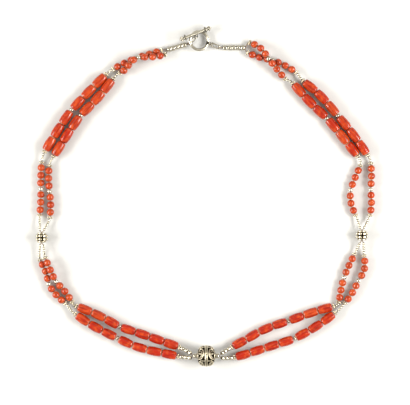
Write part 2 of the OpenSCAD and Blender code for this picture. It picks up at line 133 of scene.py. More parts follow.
sheet_mesh = bpy.data.meshes.new("white_sheet")
sheet_half = 1.5
sheet_corners = [(x * sheet_half, y * sheet_half, 0) for x, y in ((-1, -1), (1, -1), (1, 1), (-1, 1))]
sheet_mesh.from_pydata(sheet_corners, [], [(0, 1, 2, 3)])
white_sheet = bpy.data.objects.new("white_sheet", sheet_mesh)
bpy.context.scene.collection.objects.link(white_sheet)
acrylic, tree, shader = new_material("matt_white_acrylic")
shader.inputs["Base Color"].default_value = linear("#ccccca")
shader.inputs["Roughness"].default_value = 0.6
shader.inputs["Specular IOR Level"].default_value = 0.2
white_sheet.data.materials.append(acrylic)

# Thread
# Bonded nylon cord, made into one loop that runs through every bead and round both links. It only shows
# where two beads don't quite meet.
plies_a_metre = 6500.0
nylon, tree, shader = new_material("bonded_nylon_thread")
place = add(tree, "ShaderNodeTexCoord").outputs["Object"]
# Mottled at the 0.15 mm of the cord's plies
plies = add(tree, "ShaderNodeTexNoise", [
    ("Vector", place), ("Scale", plies_a_metre), ("Detail", 3.0)
]).outputs[0]
raised = add(tree, "ShaderNodeMapRange", [(0, plies), (1, 0.3), (2, 0.7)], **SOFT)
waxed = add(tree, "ShaderNodeMix", [
    (0, raised.outputs[0]), (6, linear("#5c4938")), (7, linear("#998468"))
], **COLOUR)
tree.links.new(waxed.outputs[2], shader.inputs["Base Color"])
bump = add(tree, "ShaderNodeBump", [("Height", plies), ("Distance", 0.04 * MM), ("Strength", 0.6)])
tree.links.new(bump.outputs[0], shader.inputs["Normal"])
shader.inputs["Roughness"].default_value = 0.55
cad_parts["thread"].data.materials.clear()
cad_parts["thread"].data.materials.append(nylon)

# Coral beads
# Bamboo coral, cut, drilled and tumbled to rounds and long barrels, then dyed and waxed. Each is a little
# uneven, with growth lines along it, and the polish gives two small highlights, one for each softbox.
STRANDS = ("outer_left", "inner_left", "outer_right", "inner_right")
# Room between the drill hole and the edge of a round's end
bore_rim = 0.12 * MM
# A barrel's radius at its ends, how far its belly drops towards them, and the softness between the two
end_radius = 1.05 * MM
belly_drop = 0.38 * MM
edge_softness = 0.1 * MM
# How much wider at each side a round is than its solid in the CAD, and how much longer than wide
round_wider, longer_than_wide = 0.03 * MM, 0.04 * MM
# How much wider at each side a barrel beside the neck is than its solid, and how much longer any barrel
neck_barrel_wider, barrel_longer = 0.03 * MM, 0.03 * MM
# Half lengths that part the rounds from the barrels, and the front barrels from those beside the neck
longest_round = 2 * MM
longest_front_barrel = 3.3 * MM
# In front of this lie only barrels, the ones that took the most of the dye
front_y = -55 * MM
# Rows of points along a round and a barrel, and columns round both
round_rows, barrel_rows, coral_columns = 17, 25, 28


def loose_parts(name):
    """Loose solids of a CAD node, as triangles of points. Corners in one place get one number, and the
    lowest number of each triangle spreads over its neighbours until nothing changes."""
    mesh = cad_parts[name].data
    points = np.empty(len(mesh.vertices) * 3, np.float32)
    mesh.vertices.foreach_get("co", points)
    corners = np.empty(len(mesh.loops), np.int32)
    mesh.loops.foreach_get("vertex_index", corners)
    places, number = np.unique(points.reshape(-1, 3), axis=0, return_inverse=True)
    triangles = number.reshape(-1)[corners].reshape(-1, 3)
    label = np.arange(len(places))
    while True:
        before = label.copy()
        np.minimum.at(label, triangles, label[triangles].min(1)[:, None])
        label = label[label]
        if (label == before).all():
            break
    owner = label[triangles[:, 0]]
    return [places[triangles[owner == k]].astype(float) for k in np.unique(owner)]


def turned_solids(name):
    """Middle, axis, half length, radius and bore of each drilled round solid of a node. The line along each
    triangle's normal meets the axis, so the axis is square to every cross product of a triangle's place and
    its normal."""
    rows = []
    for corners in loose_parts(name):
        normal = np.cross(corners[:, 1] - corners[:, 0], corners[:, 2] - corners[:, 0]) / 2
        area = np.linalg.norm(normal, axis=1)
        place = corners.mean(1)
        middle = (place * area[:, None]).sum(0) / area.sum()
        moment = np.cross(place - middle, normal)
        axis = np.linalg.eigh(moment.T @ (moment / np.maximum(area, 1e-12)[:, None]))[1][:, 0]
        away = corners.reshape(-1, 3) - middle
        along = away @ axis
        across = np.linalg.norm(away - along[:, None] * axis, axis=1)
        rows.append((*middle, *axis, np.abs(along).max(), across.max(), across.min()))
    rows = np.array(rows)
    return rows[:, :3], rows[:, 3:6], rows[:, 6], rows[:, 7], rows[:, 8]


def unit(v):
    """Directions of length 1."""
    return v / np.linalg.norm(v, axis=-1, keepdims=True)


def axes_along(z, near=(0, 0, 1)):
    """Three square axes for each direction z, with the first as near as it can be to the one given."""
    y = unit(np.cross(z, np.broadcast_to(near, z.shape)))
    return np.stack([np.cross(y, z), y, z], -2)


def lathe(profile, columns):
    """Grid of rows and columns: each row of the profile, as radius, height and values, carried round Z."""
    a = np.linspace(0, 2 * np.pi, columns, endpoint=False)
    rows = np.repeat(profile[:, None, :], columns, 1)
    return np.concatenate([
        rows[..., :1] * np.cos(a)[:, None], rows[..., :1] * np.sin(a)[:, None], rows[..., 1:]
    ], -1)


def placed(grid, axes, origins):
    """Copies of a grid: each point times a copy's three axes, plus its origin. Values stay as they are."""
    shape = (len(origins),) + grid.shape[-3:-1] + (3,)
    points = np.einsum("...rci,...ij->...rcj", np.broadcast_to(grid[..., :3], shape), axes)
    values = np.broadcast_to(grid[..., 3:], points.shape[:-1] + (grid.shape[-1] - 3,))
    return np.concatenate([points + origins[:, None, None], values], -1)


def skin(grid, wrap=False):
    """Points and faces of the surface over each grid. Columns join round, and rows too if wrap is true."""
    grid = grid.reshape((-1,) + grid.shape[-3:])
    number = np.arange(grid[..., 0].size).reshape(grid.shape[:-1])
    here, above = (number, np.roll(number, -1, 1)) if wrap else (number[:, :-1], number[:, 1:])
    faces = np.stack([here, np.roll(here, -1, 2), np.roll(above, -1, 2), above], -1)
    return grid.reshape(-1, grid.shape[-1]), faces.reshape(-1, 4)


def joined(skins):
    """One surface of several."""
    starts = np.cumsum([0] + [len(points) for points, faces in skins[:-1]])
    return (
        np.concatenate([points for points, faces in skins]),
        np.concatenate([faces + start for (points, faces), start in zip(skins, starts)]),
    )


def piece(name, surface, values, material, slot, *nodes):
    """Object with the surface as its mesh. The points' further columns become attributes with the names
    given."""
    points, faces = surface
    mesh = bpy.data.meshes.new(name)
    mesh.from_pydata(points[:, :3].tolist(), [], faces.tolist())
    for i, value in enumerate(values):
        layer = mesh.attributes.new(value, "FLOAT", "POINT")
        layer.data.foreach_set("value", points[:, 3 + i].astype(np.float32))
    # Poles are rows of points in one place, which this makes one point
    work = bmesh.new()
    work.from_mesh(mesh)
    bmesh.ops.remove_doubles(work, verts=work.verts, dist=1e-8)
    work.to_mesh(mesh)
    work.free()
    mesh.shade_smooth()
    mesh.materials.append(material)
    made = bpy.data.objects.new(name, mesh)
    bpy.context.scene.collection.objects.link(made)
    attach(made, "root")
    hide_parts(*nodes)


def round_profile(radius, half_height, bore, rows):
    """Radius and height of a drilled round, from one end to the other: half an ellipse, cut off where it
    meets the bore's rim."""
    start = np.arcsin((bore + bore_rim) / radius)
    a = np.linspace(start, np.pi - start, rows)
    return np.stack([radius * np.sin(a), -half_height * np.cos(a)], 1)


def barrel_profile(half_length, radius, rows):
    """Radius and height of a barrel: a long arc for the belly, cut by an arc about its middle at each end.
    The two meet in a soft minimum, and the rows stop just short of the ends."""
    belly = (half_length**2 + belly_drop**2) / (2 * belly_drop)
    short_of_end = 0.985
    a = np.linspace(-np.pi / 2, np.pi / 2, rows) * short_of_end
    z = half_length * np.sin(a)
    long_arc = radius - belly + np.sqrt(belly**2 - z**2)
    end_arc = np.sqrt(np.maximum(end_radius**2 + half_length**2 - z**2, 0))
    low = np.minimum(long_arc, end_arc)
    softened = edge_softness * np.log1p(np.exp(-np.abs(long_arc - end_arc) / edge_softness))
    return np.stack([low - softened, z], 1)


def bead_surface(profile, bore, middles, axes, unevenness, tones, columns):
    """Drilled beads on one profile. Each bead's radius swells and dips by a few waves round and along it,
    and the bore runs straight back. The values are the bead's tone, a painted highlight that pales a rim
    round each end of the drill hole, and the place inside the bead in millimetres."""
    wall = np.stack([np.full(2, bore), profile[[-1, 0], 1] * 0.97], 1)
    grid = lathe(np.concatenate([profile, wall]), columns)
    a = np.linspace(0, 2 * np.pi, columns, endpoint=False)
    z = grid[..., 2] / np.abs(profile[:, 1]).max()
    phase = rng.uniform(0, 2 * np.pi, (4, len(middles), 1, 1))
    oval = np.sin(2 * a + phase[0])
    twisted = 0.7 * np.sin(3 * a + phase[1]) * np.cos(2 * z + phase[2])
    bulges = np.sin(2.6 * z + phase[3])
    # The waves add up to 2.7 at most, and the beads swell a little more than they dip
    waves = oval + twisted + bulges
    outside = np.concatenate([np.ones(len(profile)), np.zeros(2)])[:, None]
    swell = 1 + unevenness * (waves / 2.7 + 0.2) / 2 * outside
    local = np.repeat(grid[None], len(middles), 0)
    local[..., :2] *= swell[..., None]
    inside = local / MM + rng.uniform(0, 50, (len(middles), 1, 1, 3))
    tone = np.broadcast_to(tones[:, None, None, None], inside.shape[:-1] + (1,))
    # The painted highlight round the drill hole's end rises from 0.89 to 0.95 of the half length
    at_rim = np.clip(np.abs(z[..., None]) / 0.06 - 14.8, 0, 1)
    painted_end_highlight = rng.uniform(0, 1, (len(middles), 1, 1, 1)) * at_rim
    values = np.concatenate([local, tone, painted_end_highlight, inside], -1)
    return skin(placed(values, axes_along(axes), middles), wrap=True)


def coral_material():
    """Polished dyed coral. Each bead has its own tone, growth lines run along it every 0.7 mm or so, and a
    few pores and paler clouds show where the dye took less."""
    made, tree, shader = new_material("polished_dyed_bamboo_coral")
    tone = add(tree, "ShaderNodeAttribute", attribute_name="tone").outputs["Fac"]
    x, y, z = (add(tree, "ShaderNodeAttribute", attribute_name="inside_" + a).outputs["Fac"] for a in "xyz")
    along = add(tree, "ShaderNodeMath", [(0, z), (1, 0.12)], operation="MULTIPLY").outputs[0]
    grown = add(tree, "ShaderNodeCombineXYZ", [(0, x), (1, y), (2, along)]).outputs[0]
    even = add(tree, "ShaderNodeCombineXYZ", [(0, x), (1, y), (2, z)]).outputs[0]
    # Growth streaks 0.7 mm apart with finer ones in them, clouds 2 mm across and pores of 0.1 mm
    lines = add(tree, "ShaderNodeTexNoise", [
        ("Vector", grown), ("Scale", 1.4), ("Detail", 5.0), ("Roughness", 0.6)
    ]).outputs[0]
    clouds = add(tree, "ShaderNodeTexNoise", [("Vector", even), ("Scale", 0.5), ("Detail", 2.0)]).outputs[0]
    pores = add(tree, "ShaderNodeTexVoronoi", [("Vector", even), ("Scale", 2.2)]).outputs["Distance"]
    # A pale painted highlight round each end of the drill hole, of random strength for each bead
    painted_end_highlight = add(tree, "ShaderNodeAttribute", attribute_name="painted_end_highlight").outputs["Fac"]
    dyed = add(tree, "ShaderNodeMix", [(0, tone), (6, linear("#a21e04")), (7, linear("#b0461a"))], **COLOUR)
    # Layers over the dye: what each follows, where it starts and is full, how much it covers, its colour
    layers = (
        (clouds, 0.42, 0.7, 0.7, "#c24d1b"),
        (lines, 0.47, 0.66, 0.75, "#741104"),
        (pores, 0.16, 0.06, 0.6, "#540f04"),
        (painted_end_highlight, 0.2, 1.2, 1.0, "#d9a67c"),
    )
    for value, start, full, cover, colour in layers:
        layer = add(tree, "ShaderNodeMapRange", [(0, value), (1, start), (2, full), (4, cover)], **SOFT)
        dyed = add(tree, "ShaderNodeMix", [
            (0, layer.outputs[0]), (6, dyed.outputs[2]), (7, linear(colour))
        ], **COLOUR)
    tree.links.new(dyed.outputs[2], shader.inputs["Base Color"])
    rough = add(tree, "ShaderNodeMapRange", [
        (0, lines), (1, 0.3), (2, 0.8), (3, 0.12), (4, 0.24)
    ], **SOFT)
    tree.links.new(rough.outputs[0], shader.inputs["Roughness"])
    shader.inputs["IOR"].default_value = 1.46
    shader.inputs["Subsurface Weight"].default_value = 0.12
    shader.inputs["Subsurface Radius"].default_value = (0.9, 0.25, 0.12)
    shader.inputs["Subsurface Scale"].default_value = 0.6 * MM
    first = add(tree, "ShaderNodeBump", [("Height", lines), ("Distance", 0.03 * MM), ("Strength", 0.35)])
    pitted = add(tree, "ShaderNodeMapRange", [(0, pores), (1, 0.05), (2, 0.16)], **SOFT).outputs[0]
    second = add(tree, "ShaderNodeBump", [
        ("Height", pitted), ("Distance", 0.05 * MM), ("Strength", 0.5), ("Normal", first.outputs[0])
    ])
    tree.links.new(second.outputs[0], shader.inputs["Normal"])
    return made


coral = coral_material()
coral_values = ("tone", "painted_end_highlight", "inside_x", "inside_y", "inside_z")
for strand in STRANDS:
    middle, axis, half_length, radius, bore = turned_solids("coral_" + strand)
    # The rounds took less of the dye than the barrels, and the foremost barrels took the most
    tone = rng.uniform(0, 0.5, len(middle))
    tone = tone + 0.5 * (half_length < longest_round) - 0.35 * (middle[:, 1] < front_y)
    surfaces = []
    for length in np.unique(np.round(half_length / MM, 1)) * MM:
        these = np.abs(half_length - length) < 0.06 * MM
        hole = bore[these].min()
        if length < longest_round:
            uneven = 0.03
            widest = radius[these].max() + round_wider
            profile = round_profile(widest, widest + longer_than_wide, hole, round_rows)
        else:
            # The barrels beside the neck turned out a little fatter than the front ones
            uneven = 0.05
            widest = radius[these].max() + neck_barrel_wider * (length > longest_front_barrel)
            profile = barrel_profile(half_length[these].max() + barrel_longer, widest, barrel_rows)
        beads = bead_surface(profile, hole, middle[these], axis[these], uneven, tone[these], coral_columns)
        surfaces.append(beads)
    piece("coral_beads_" + strand, joined(surfaces), coral_values, coral, "coral", "coral_" + strand)

# Daisies
# Sterling silver beads at both ends of each run of coral: a ring of granules soldered between two fine
# wire rings. The silver is blackened in a bath and rubbed bright again, which leaves the gaps dark.
SHADE = ("patina_and_painted_shade",)
daisy_granules = 6
daisy_granule = 0.49 * MM
daisy_wire = 0.17 * MM
# Half the height of the core where it meets the granules
core_half = 0.25 * MM


def ball(radius, rows=7, columns=10):
    """Ball of the given radius with Z up. The value rises towards its underside."""
    a = np.linspace(0, np.pi, rows)
    patina_and_painted_shade = np.clip(0.5 + 0.5 * np.cos(a) - 0.25, 0, 1) ** 1.5
    return lathe(np.stack([radius * np.sin(a), -radius * np.cos(a), patina_and_painted_shade], 1), columns)


def hoop(ring_radius, wire_radius, height=0.0, rows=8, columns=32, patina_and_painted_shade=0.0):
    """Ring of round wire about Z. The value is highest where the wire faces the axis."""
    a = np.linspace(0, 2 * np.pi, rows, endpoint=False)
    shade = np.clip(patina_and_painted_shade + 0.6 * np.clip(-np.cos(a), 0, 1), 0, 1)
    profile = np.stack([ring_radius + wire_radius * np.cos(a), height + wire_radius * np.sin(a), shade], 1)
    return lathe(profile, columns)


def round_about(count, radius, height=0.0, start=0.0):
    """Places evenly round Z at a height, and axes there whose Z points outwards and whose Y runs round."""
    a = start + np.arange(count) * 2 * np.pi / count
    out = np.stack([np.cos(a), np.sin(a), 0 * a], 1)
    origins = out * radius + (0, 0, height)
    up = np.broadcast_to([0.0, 0.0, 1.0], out.shape)
    return np.stack([up, np.cross(out, up), out], 1), origins


def regrouped(skins, axes, origins):
    """Copies of several surfaces that make one thing, one for each origin."""
    points, faces = joined(skins)
    moved = np.einsum("pi,kij->kpj", points[:, :3], axes) + origins[:, None]
    values = np.broadcast_to(points[:, 3:], moved.shape[:-1] + (points.shape[-1] - 3,))
    moved = np.concatenate([moved, values], -1)
    faces = faces + np.arange(len(origins))[:, None, None] * len(points)
    return moved.reshape(-1, points.shape[-1]), faces.reshape(-1, 4)


def silver_material(name, bright, dark, polish, grain_mm):
    """Sterling silver. A value on each point and the hollows of a fine noise blacken it: patina in the
    recesses, and painted shade along one side of the clasp's rod. Rubbing leaves faint scratches that the
    roughness and the bump show."""
    made, tree, shader = new_material(name)
    patina_and_painted_shade = add(tree, "ShaderNodeAttribute", attribute_name="patina_and_painted_shade").outputs["Fac"]
    place = add(tree, "ShaderNodeTexCoord").outputs["Object"]
    grain = add(tree, "ShaderNodeTexNoise", [
        ("Vector", place), ("Scale", 1 / (grain_mm * MM)), ("Detail", 4.0)
    ]).outputs[0]
    # Patches 3 mm across that were rubbed brighter
    clouds = add(tree, "ShaderNodeTexNoise", [
        ("Vector", place), ("Scale", 1 / (3 * MM)), ("Detail", 2.0)
    ]).outputs[0]
    uneven = add(tree, "ShaderNodeMath", [
        (0, grain), (1, 0.35), (2, -0.17)
    ], operation="MULTIPLY_ADD").outputs[0]
    blackened_and_shaded = add(tree, "ShaderNodeMath", [(0, patina_and_painted_shade), (1, uneven)], operation="ADD").outputs[0]
    blackened_and_shaded = add(tree, "ShaderNodeMapRange", [(0, blackened_and_shaded), (1, 0.2), (2, 0.75)], **SOFT).outputs[0]
    patches = add(tree, "ShaderNodeMapRange", [(0, clouds), (1, 0.35), (2, 0.7), (4, 0.4)], **SOFT)
    rubbed = add(tree, "ShaderNodeMix", [
        (0, patches.outputs[0]), (6, linear(bright)), (7, linear("#d6cfbe"))
    ], **COLOUR)
    surface = add(tree, "ShaderNodeMix", [
        (0, blackened_and_shaded), (6, rubbed.outputs[2]), (7, linear(dark))
    ], **COLOUR)
    tree.links.new(surface.outputs[2], shader.inputs["Base Color"])
    rough = add(tree, "ShaderNodeMath", [
        (0, blackened_and_shaded), (1, 0.35), (2, polish)
    ], operation="MULTIPLY_ADD").outputs[0]
    rough = add(tree, "ShaderNodeMath", [
        (0, grain), (1, 0.12), (2, rough)
    ], operation="MULTIPLY_ADD").outputs[0]
    tree.links.new(rough, shader.inputs["Roughness"])
    shader.inputs["Metallic"].default_value = 1.0
    bump = add(tree, "ShaderNodeBump", [("Height", grain), ("Distance", 0.015 * MM), ("Strength", 0.5)])
    tree.links.new(bump.outputs[0], shader.inputs["Normal"])
    return made


oxidised_silver = silver_material("oxidised_granulated_silver", "#cac0a6", "#1f1a11", 0.2, 0.12)
for strand in STRANDS:
    middle, axis, half_length, radius, bore = turned_solids("daisies_" + strand)
    hole = bore.max()
    top = half_length.max() - daisy_wire
    core_radius = radius.max() - daisy_granule
    petals = placed(ball(daisy_granule, 9, 12), *round_about(daisy_granules, core_radius))
    rings = [hoop(hole + daisy_wire, daisy_wire, z, patina_and_painted_shade=0.2) for z in (-top, top)]
    core = lathe(np.array([
        (hole, -top, 1), (core_radius, -core_half, 1), (core_radius, core_half, 1), (hole, top, 1)
    ]), 24)
    parts = [skin(petals)] + [skin(g, wrap=True) for g in rings + [core]]
    surface = regrouped(parts, axes_along(axis), middle)
    piece("granulated_daisies_" + strand, surface, SHADE, oxidised_silver, "silver", "daisies_" + strand)

# Spacers
# Small turned silver beads in the middle of each run of coral: a bellied one between round beads, with a
# beaded line round it, and a flat washer with a rounded rim between barrels.
bright_silver = silver_material("rubbed_bright_silver", "#c8c2b1", "#3a352b", 0.17, 0.2)
# Half length that parts the washers from the bellied spacers
thickest_washer = 0.65 * MM
line_beads = 22
line_bead = 0.14 * MM
# How far inside the solid's radius the belly and the middles of the line's beads lie
belly_inset, line_inset = 0.06 * MM, 0.1 * MM


def turned_bead(half_length, radius, bore, fullness, columns=28, rows=15):
    """Turned bead: a superellipse for the outside, with the bore straight through. Its ends are black."""
    a = np.linspace(-np.pi / 2, np.pi / 2, rows)
    swell = np.abs(np.cos(a)) ** fullness
    r = bore + (radius - bore) * swell
    z = half_length * np.sign(np.sin(a)) * np.abs(np.sin(a)) ** fullness
    patina_and_painted_shade = np.clip(1 - 2.0 * swell, 0, 1)
    inner = np.array([(bore, half_length * 0.8, 1), (bore, -half_length * 0.8, 1)])
    return lathe(np.concatenate([np.stack([r, z, patina_and_painted_shade], 1), inner]), columns)


for strand in STRANDS:
    middle, axis, half_length, radius, bore = turned_solids("spacers_" + strand)
    flat = half_length < thickest_washer
    bellied = turned_bead(half_length[~flat].max(), radius.max() - belly_inset, bore.max(), 0.8)
    line = placed(ball(line_bead, 5, 8), *round_about(line_beads, radius.max() - line_inset))
    washer = turned_bead(half_length[flat].max(), radius.max(), bore.max(), 0.6)
    surface = joined([
        regrouped([skin(bellied, wrap=True), skin(line)], axes_along(axis[~flat]), middle[~flat]),
        regrouped([skin(washer, wrap=True)], axes_along(axis[flat]), middle[flat]),
    ])
    piece("turned_spacers_" + strand, surface, SHADE, bright_silver, "silver", "spacers_" + strand)

# Small round silver beads
# Seamless hollow rounds: three on each strand beside the front beads, one on each side of the centre bead,
# and five on each side of the clasp, where both strands run through one hole.
SIDES = ("left", "right")
# Growth of the beads on both strands over the solids of the CAD
shared_longer, shared_wider = 0.04 * MM, 0.05 * MM
for strand in STRANDS:
    middle, axis, half_length, radius, bore = turned_solids("run_beads_" + strand)
    small = turned_bead(half_length.max(), radius.max(), bore.max(), 0.7)
    surface = regrouped([skin(small, wrap=True)], axes_along(axis), middle)
    piece("small_rounds_" + strand, surface, SHADE, bright_silver, "silver", "run_beads_" + strand)
shared = ["front_bead_" + side for side in SIDES]
shared += ["tail_bead_%s_%d" % (side, i) for side in SIDES for i in range(1, 6)]
for name in shared:
    middle, axis, half_length, radius, bore = turned_solids(name)
    grid = turned_bead(half_length[0] + shared_longer, radius[0] + shared_wider, bore[0], 0.65, 32, 17)
    surface = regrouped([skin(grid, wrap=True)], axes_along(axis), middle)
    piece("silver_" + name, surface, SHADE, bright_silver, "silver", name)

# Seed beads
# Silver seed beads, cut from thin tube and tumbled until their edges are round. They fill the strands
# between the runs of coral, and run in a V from both strands into each side bead.
seed_radius = 0.6 * MM
seed_thickness = 1.0 * MM
seed_bore = 0.26 * MM
seed_gap = 0.04 * MM


def tube_line(corners, steps=40):
    """Middle line of a drilled tube: the cubic curve over the tube's longest direction that lies nearest to
    all its points. Its two bending terms are held back a little, which keeps a short tube straight."""
    points = np.unique(corners.reshape(-1, 3), axis=0)
    middle = points.mean(0)
    along = (points - middle) @ np.linalg.svd(points - middle, full_matrices=False)[2][0]
    reach = np.abs(along).max()
    powers = (along / reach)[:, None] ** np.arange(4)
    held_back = len(points) * np.diag([0, 0, 0.001, 0.001])
    terms = np.linalg.solve(powers.T @ powers + held_back, powers.T @ (points - middle))
    even = np.linspace(along.min(), along.max(), steps) / reach
    return middle + even[:, None] ** np.arange(4) @ terms


def spread(line, pitch):
    """Places and directions along a line, as many as fit at the pitch, with the rest shared out."""
    steps = np.linalg.norm(np.diff(line, axis=0), axis=1)
    along = np.concatenate([[0], np.cumsum(steps)])
    count = max(int(along[-1] / pitch + 0.3), 1)
    at = (np.arange(count) + 0.5) * along[-1] / count
    places = np.stack([np.interp(at, along, line[:, i]) for i in range(3)], 1)
    ahead = unit(np.diff(line, axis=0))[np.clip(np.searchsorted(along, at) - 1, 0, len(steps) - 1)]
    return places, ahead


for strand in STRANDS:
    tubes = loose_parts("seeds_" + strand)
    rows = [spread(tube_line(corners), seed_thickness + seed_gap) for corners in tubes]
    places = np.concatenate([row[0] for row in rows])
    ahead = np.concatenate([row[1] for row in rows])
    seed = turned_bead(seed_thickness / 2, seed_radius, seed_bore, 0.8, 16, 9)
    surface = regrouped([skin(seed, wrap=True)], axes_along(ahead), places)
    piece("seed_beads_" + strand, surface, SHADE, bright_silver, "silver", "seeds_" + strand)

# Side beads
# Barrels of sheet silver with two rows of cushions pressed out of the sheet. The grooves between the
# cushions are left black, and a plain collar closes each end.
cushions_a_row = 7
row_pitch = 1.46 * MM
# Half sizes of a cushion along the bead, round it and outwards
cushion_half = (0.58 * MM, 0.72 * MM, 0.5 * MM)
cushion_inset = 0.5 * MM
end_collar_radius, end_collar_wire = 1.65 * MM, 0.42 * MM
# How much shorter and thinner than the whole the body under the cushions is, at each side
body_shorter, body_thinner = 0.45 * MM, 0.75 * MM
# Radius of the hole for both threads
two_thread_bore = 0.6 * MM
# Degrees from the top of the bead to the nearest groove
groove_beside_top = {"left": 14, "right": 0}
for side in SIDES:
    low, high = (np.array(corner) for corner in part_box("side_bead_" + side))
    middle = (low + high) / 2
    length, width = high[1] - low[1], high[2] - low[2]
    body = turned_bead(length / 2 - body_shorter, width / 2 - body_thinner, two_thread_bore, 0.35, 40)
    body[..., 3] = 1
    collar_reach = length / 2 - end_collar_wire
    collars = [hoop(end_collar_radius, end_collar_wire, z * collar_reach, 10, 40, 0.1) for z in (-1, 1)]
    cushions = []
    for z in (-0.5, 0.5):
        grid = ball(1.0, 9, 16)
        shape = unit(grid[..., :3])
        square = np.abs(shape) ** 0.6 * np.sign(shape)
        grid[..., :3] = square * cushion_half
        start = np.radians(groove_beside_top[side] + 180 / cushions_a_row)
        round_it = round_about(cushions_a_row, width / 2 - cushion_inset, z * row_pitch, start)
        cushions.append(placed(grid, *round_it))
    parts = [skin(body, wrap=True)] + [skin(g, wrap=True) for g in collars] + [skin(g) for g in cushions]
    surface = regrouped(parts, axes_along(np.array([[0.0, 1.0, 0.0]])), middle[None])
    piece("cushioned_bead_" + side, surface, SHADE, oxidised_silver, "silver", "side_bead_" + side)

# Centre bead
# Hollow silver bead worked with wire. Two bands run round its middle, and on both sides of them four large
# volutes have their backs to the bands, with granules in the corners between them. The ground is black.
low, high = (np.array(corner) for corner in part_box("centre_bead"))
bead_middle = (low + high) / 2
bead_length, bead_width = high[0] - low[0], high[2] - low[2]
# The ground is one arc, which drops from its widest to 2.7 mm from the axis at each end
ground_half = bead_length / 2 - 0.35 * MM
ground_radius = bead_width / 2 - 0.45 * MM
ground_drop = ground_radius - 2.7 * MM
ground_curve = (ground_half**2 + ground_drop**2) / (2 * ground_drop)
volute_count = 4
volute_start = np.radians(-20)
# Corners of the wires in millimetres: across from the middle band, and around from the volute's middle
back_wire = [
    (3.5, 3.2), (2.5, 2.9), (1.6, 1.9), (1.2, 0.4), (1.3, -1.2), (1.9, -2.3), (2.9, -2.5), (3.4, -1.7),
    (3.0, -0.9)
]
inner_wire = [(3.1, 2.1), (2.3, 1.6), (1.95, 0.4), (2.1, -0.9), (2.5, -1.4)]
# Each wire in millimetres: its corners, its radius at the tail and at the curl, and its lift
volute_wires = [(back_wire, 0.32, 0.22, 0.14), (inner_wire, 0.2, 0.16, 0.05)]
# Granules in millimetres: across, around and radius
granules = [(2.7, 0.2, 0.42), (0.9, 3.6, 0.28), (1.6, 3.7, 0.3), (2.4, 3.75, 0.34), (3.3, -0.1, 0.28)]
granule_lift = 0.1 * MM
band_wire, band_reach = 0.27 * MM, 0.38 * MM
# Two rings close each end, one inside the other: radius, wire and shade
end_rings = [(1.9 * MM, 0.36 * MM, 0.0), (1.2 * MM, 0.3 * MM, 0.3)]


def on_ground(across, around, turn, lift):
    """Points over the ground of the bead, and the directions away from it. across is the length from the
    middle band over the curve, around the length round the bead at its widest, turn the angle at which
    around starts."""
    climb = across / ground_curve
    radius = ground_radius - ground_curve + ground_curve * np.cos(climb)
    angle = turn + around / ground_radius
    out = np.stack([np.cos(climb) * np.cos(angle), np.cos(climb) * np.sin(angle), np.sin(climb)], -1)
    base = np.stack([radius * np.cos(angle), radius * np.sin(angle), ground_curve * np.sin(climb)], -1)
    return base + out * lift, out


def rounded(corners, times=3):
    """Corners cut to a smooth line. Each time, every stretch keeps its middle half, and the ends stay."""
    for _ in range(times):
        a, b = corners[:-1], corners[1:]
        cut = np.stack([0.75 * a + 0.25 * b, 0.25 * a + 0.75 * b], 1).reshape(-1, corners.shape[1])
        corners = np.concatenate([corners[:1], cut, corners[-1:]])
    return corners


def wire_along(path, away, radius, columns=8):
    """Round wire along a path with closed ends. Its first column faces away from the ground, and the value
    rises towards the ground."""
    radius = np.broadcast_to(radius, len(path))
    ahead = unit(np.gradient(path, axis=0))
    side = unit(np.cross(ahead, away))
    away = np.cross(side, ahead)
    a = np.linspace(0, 2 * np.pi, columns, endpoint=False)[:, None]
    ring = np.cos(a) * away[:, None] - np.sin(a) * side[:, None]
    grid = path[:, None] + radius[:, None, None] * ring
    shade = np.broadcast_to(np.clip(0.4 - 0.6 * np.cos(a), 0, 1), grid.shape[:-1] + (1,))
    grid = np.concatenate([grid, shade], -1)
    ends = [np.repeat(np.append(path[i], 0.5)[None, None], columns, 1) for i in (0, -1)]
    return np.concatenate([ends[0], grid, ends[1]])


def centre_half(turn):
    """One volute, from its tail at the bead's end up along the band and round to its curl, the wire inside
    it, and the granules, on the half of the bead with positive Z."""
    made = []
    for corners, tail, curl, lift in volute_wires:
        across, around = rounded(np.array(corners) * MM).T
        path, away = on_ground(across, around, turn, lift * MM)
        made.append(skin(wire_along(path, away, np.linspace(tail, curl, len(path)) * MM)))
    for across, around, radius in np.array(granules) * MM:
        place, out = on_ground(np.array([across]), np.array([around]), turn, granule_lift)
        made.append(skin(placed(ball(radius, 7, 12), axes_along(out), place)))
    return made


ground_rows = 25
climb = np.linspace(-1, 1, ground_rows) * np.arcsin(ground_half / ground_curve)
ground = np.stack([
    ground_radius - ground_curve + ground_curve * np.cos(climb),
    ground_curve * np.sin(climb),
    np.ones(ground_rows),
], 1)
inside = np.array([(two_thread_bore, ground_half, 1), (two_thread_bore, -ground_half, 1)])
parts = [skin(lathe(np.concatenate([ground, inside]), 64), wrap=True)]
for z in (-1, 1):
    parts.append(skin(hoop(bead_width / 2 - band_wire, band_wire, z * band_reach, 8, 72), wrap=True))
for radius, wire, shade in end_rings:
    for z in (-1, 1):
        parts.append(skin(hoop(radius, wire, z * (bead_length / 2 - wire), 10, 48, shade), wrap=True))
for k in range(volute_count):
    for points, faces in centre_half(volute_start + k * 2 * np.pi / volute_count):
        parts.append((points, faces))
        mirrored = points * (1, 1, -1, 1)
        parts.append((mirrored, faces[:, ::-1]))
# The bead's own Z runs along X, and its first axis points up
axes = np.array([[(0, 0, 1), (0, 1, 0), (1, 0, 0)]], float)
axes[0, 1] = np.cross(axes[0, 2], axes[0, 0])
surface = regrouped(parts, axes, bead_middle[None])
wirework_silver = silver_material("oxidised_wirework_silver", "#cac0a6", "#1f1a11", 0.32, 0.15)
piece("wirework_centre_bead", surface, SHADE, wirework_silver, "silver", "centre_bead")

